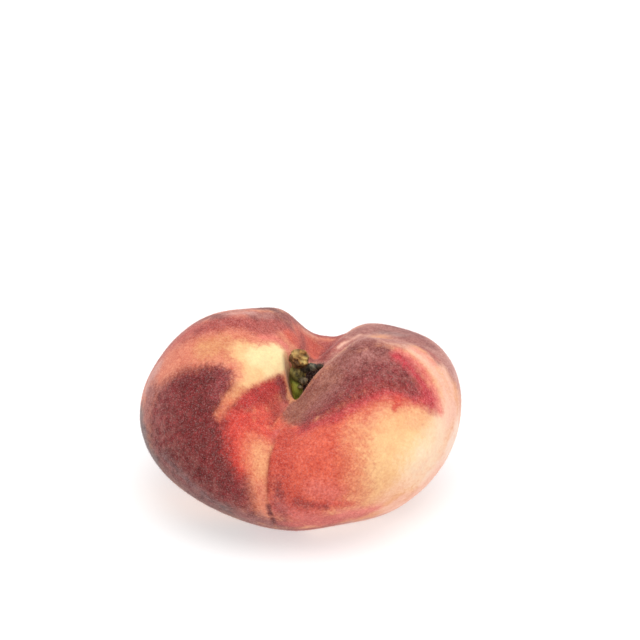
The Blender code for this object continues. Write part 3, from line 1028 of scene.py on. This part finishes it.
def lump_closeness(points):
    """How much each corner belongs to each lump: 1 in all, mostly to the nearest."""
    names = ["stalk"] + list(STEM_LUMPS)
    line = np.array([STALK_FOOT, STALK_TOP])
    gaps = [distance_to_line(points, line) - STALK_TOP_RADIUS]
    for centre, half_sizes, tilt in STEM_LUMPS.values():
        inside = np.array(lump_form(centre, half_sizes, tilt).inverted())
        local = points @ inside[:3, :3].T + inside[:3, 3]
        gaps.append((np.linalg.norm(local, axis=1) - 1.0) * min(half_sizes))
    closeness = np.exp(-np.array(gaps) / MELT)
    return names, closeness / closeness.sum(axis=0)


def shape_stem(mesh):
    """Push out the bark's ridges and give each corner its colour."""
    count = len(mesh.vertices)
    points = np.zeros(count * 3)
    normals = np.zeros(count * 3)
    mesh.vertices.foreach_get("co", points)
    mesh.vertex_normals.foreach_get("vector", normals)
    points, normals = points.reshape(-1, 3), normals.reshape(-1, 3)
    names, closeness = lump_closeness(points)
    cut = closeness[names.index("cut_end")] * np.clip(points[:, 2] - TEAR_START, 0, 1)
    lumpy = noise_at(points, LUMP_NOISE, shift=2.0)
    bark = noise_at(points * BARK_STRETCH, BARK_NOISE, shift=5.0)
    bark += FINE_BARK * noise_at(points, FINE_BARK_NOISE, shift=9.0)
    bend = TEAR_BENDS[0] * lumpy + TEAR_BENDS[1] * bark
    tear = np.sin(points @ np.array(TEAR_ACROSS) / TEAR_SPACING * math.tau + bend)
    woody = 1.0 - STALK_SMOOTHNESS * closeness[0]
    raised = LUMP_RELIEF * lumpy * woody + BARK_RELIEF * bark * woody + TEAR_RELIEF * tear * cut
    points += normals * raised[:, None]
    # the tone follows the relief: partly the wood's own colour, partly painted light and shade
    tone = MIDDLE_TONE + BARK_TONE * bark + TEAR_TONE * tear * cut + LUMP_TONE * lumpy
    tone = np.clip(tone, 0, 1)[:, None]
    dark, light = (np.array([linear(STEM_COLOURS[name][end]) for name in names]) for end in (0, 1))
    colour = closeness.T @ dark * (1 - tone) + closeness.T @ light * tone
    for middle, reach, paint in STEM_SPOTS:
        near = np.exp(-np.sum(((points - middle) / reach) ** 2, axis=1))[:, None]
        colour += (linear(paint) - colour) * (SPOT_STRENGTH * near)
    # painted shade in the creases where two lumps meet
    seam = 1.0 - closeness.max(axis=0)
    colour *= np.clip(1.0 - SEAM_SHADE * seam, DARKEST_SEAM, 1.0)[:, None]
    mesh.vertices.foreach_set("co", ((points + stem_axis) * MM).ravel())
    add_attribute(mesh, "bark", "FLOAT_COLOR", np.hstack([colour, np.ones((count, 1))]))
    mesh.update()


shape_stem(stem_mesh)
print("stem height in mm:", round(max(vertex.co.z for vertex in stem_mesh.vertices) / MM, 2))

# %% [markdown]
# ## The stem's material
# Dry bark is dull, dark in its cracks and paler on its ridges. Two noises do that: a stretched one for
# streaks along the stub, which also drives a small bump, and a fine one for grains. Carved cracks would
# cost many more faces and would hardly show at this size.

# %% The look of the stem
STREAKS = (900.0, (0.35, 0.65))
STREAK_DETAIL = 3.0
STREAK_STRETCH = (1.0, 1.0, 0.3)
STREAK_SHADE = (0.45, 0.40, 0.36, 1.0)
STREAK_STRENGTH = 0.55
WOOD_GRAINS = (3000.0, (0.5, 0.75), 0.08)
WOOD_GRAIN_SHADE = (0.42, 0.38, 0.26, 1.0)


def make_stem_look():
    """Streaked, grainy bark over the stem's own colours."""
    look, tree, shader = new_look("stem_bark")
    bark = stored(tree, "bark", colour=True)
    streaks = speckle(tree, *STREAKS, STREAK_DETAIL, STREAK_STRETCH)
    colour = layer_over(tree, bark, STREAK_SHADE, product(tree, streaks, STREAK_STRENGTH), "MULTIPLY")
    colour = layer_over(tree, colour, WOOD_GRAIN_SHADE, texture_cover(tree, WOOD_GRAINS, 1.0))
    tree.links.new(colour, shader.inputs["Base Color"])
    relief = add_node(tree, "Bump", values={"Strength": 0.6, "Distance": 0.0002})
    tree.links.new(streaks, relief.inputs["Height"])
    tree.links.new(relief.outputs["Normal"], shader.inputs["Normal"])
    shader.inputs["Roughness"].default_value = 0.62
    shader.inputs["Specular IOR Level"].default_value = 0.2
    return look


stem_piece = add_piece("stem_stub", stem_mesh, make_stem_look(), "stem")
print("the stub replaces the CAD stem:", len(stem_mesh.polygons), "faces")

# %% [markdown]
# ## Floor, light and world
# The photograph is lit softly from all round, on white. A white world gives most of that, and one large
# lamp above gives a little shape. The floor is white too, because it throws light up under the fruit.

# %% Studio
FLOOR_HALF = 2.0
FLOOR_PALENESS = 0.55
FLOOR_GLOW = 0.52
WORLD_STRENGTH = 0.83
LAMP_PLACE = (0.15, -0.25, 0.9)
LAMP_SIZE = 0.8
LAMP_POWER = 5.0


def make_floor():
    """A large, pale, matt sheet under the fruit."""
    sheet = bmesh.new()
    bmesh.ops.create_grid(sheet, x_segments=1, y_segments=1, size=FLOOR_HALF)
    mesh = bpy.data.meshes.new("floor")
    sheet.to_mesh(mesh)
    sheet.free()
    look, _, shader = new_look("pale_floor")
    shader.inputs["Base Color"].default_value = (FLOOR_PALENESS, FLOOR_PALENESS, FLOOR_PALENESS, 1.0)
    shader.inputs["Roughness"].default_value = 0.9
    shader.inputs["Specular IOR Level"].default_value = 0.1
    shader.inputs["Emission Color"].default_value = (1.0, 1.0, 1.0, 1.0)
    shader.inputs["Emission Strength"].default_value = FLOOR_GLOW
    mesh.materials.append(look)
    floor = bpy.data.objects.new("floor", mesh)
    bpy.context.scene.collection.objects.link(floor)


def make_light():
    """A white world and one large soft lamp."""
    world = bpy.data.worlds.new("studio")
    world.use_nodes = True
    world.node_tree.nodes["Background"].inputs["Color"].default_value = (1.0, 1.0, 1.0, 1.0)
    world.node_tree.nodes["Background"].inputs["Strength"].default_value = WORLD_STRENGTH
    bpy.context.scene.world = world
    light = bpy.data.lights.new("softbox", "AREA")
    light.shape = "DISK"
    light.size = LAMP_SIZE
    light.energy = LAMP_POWER
    lamp = bpy.data.objects.new("softbox", light)
    bpy.context.scene.collection.objects.link(lamp)
    lamp.location = LAMP_PLACE
    lamp.rotation_mode = "QUATERNION"
    lamp.rotation_quaternion = Vector(LAMP_PLACE).to_track_quat("Z", "Y")


make_floor()
make_light()
bpy.context.scene.view_settings.view_transform = "Standard"
print("floor, lamp and world are in place")
